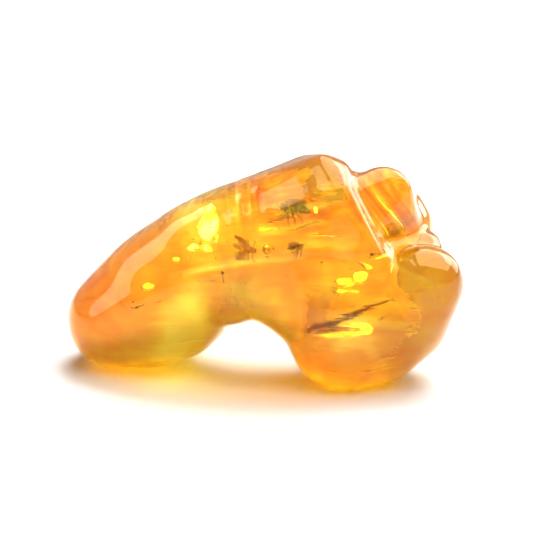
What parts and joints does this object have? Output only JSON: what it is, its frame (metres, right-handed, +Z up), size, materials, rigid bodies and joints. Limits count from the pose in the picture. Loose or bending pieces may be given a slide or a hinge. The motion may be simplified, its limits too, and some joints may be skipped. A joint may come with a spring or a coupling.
{
  "type": "insect in amber",
  "caption": "Polished see-through amber nugget, arched between a toe and a rounded foot, with small flies and a sliver of plant sealed inside.",
  "frame": {"origin": "on the surface that the nugget rests on, under the middle of its box", "axes": "+X along the nugget's length, from the toe to the rounded foot; -Y towards the front; +Z up"},
  "size_m": [0.0422, 0.0176, 0.025],
  "materials": {
    "amber": "polished see-through amber, yellow where thin and orange where thick",
    "gnat_body": "grey-green fossil insect skin",
    "fly_body": "brown fossil insect skin",
    "midge_body": "grey-brown fossil insect skin",
    "plant": "dark brown fossil plant fibre"
  },
  "bodies": {
    "root": {"amber_front": "amber", "amber_back": "amber", "gnat": "gnat_body", "fly": "fly_body", "midge": "midge_body", "plant_sliver": "plant"}
  },
  "joints": []
}
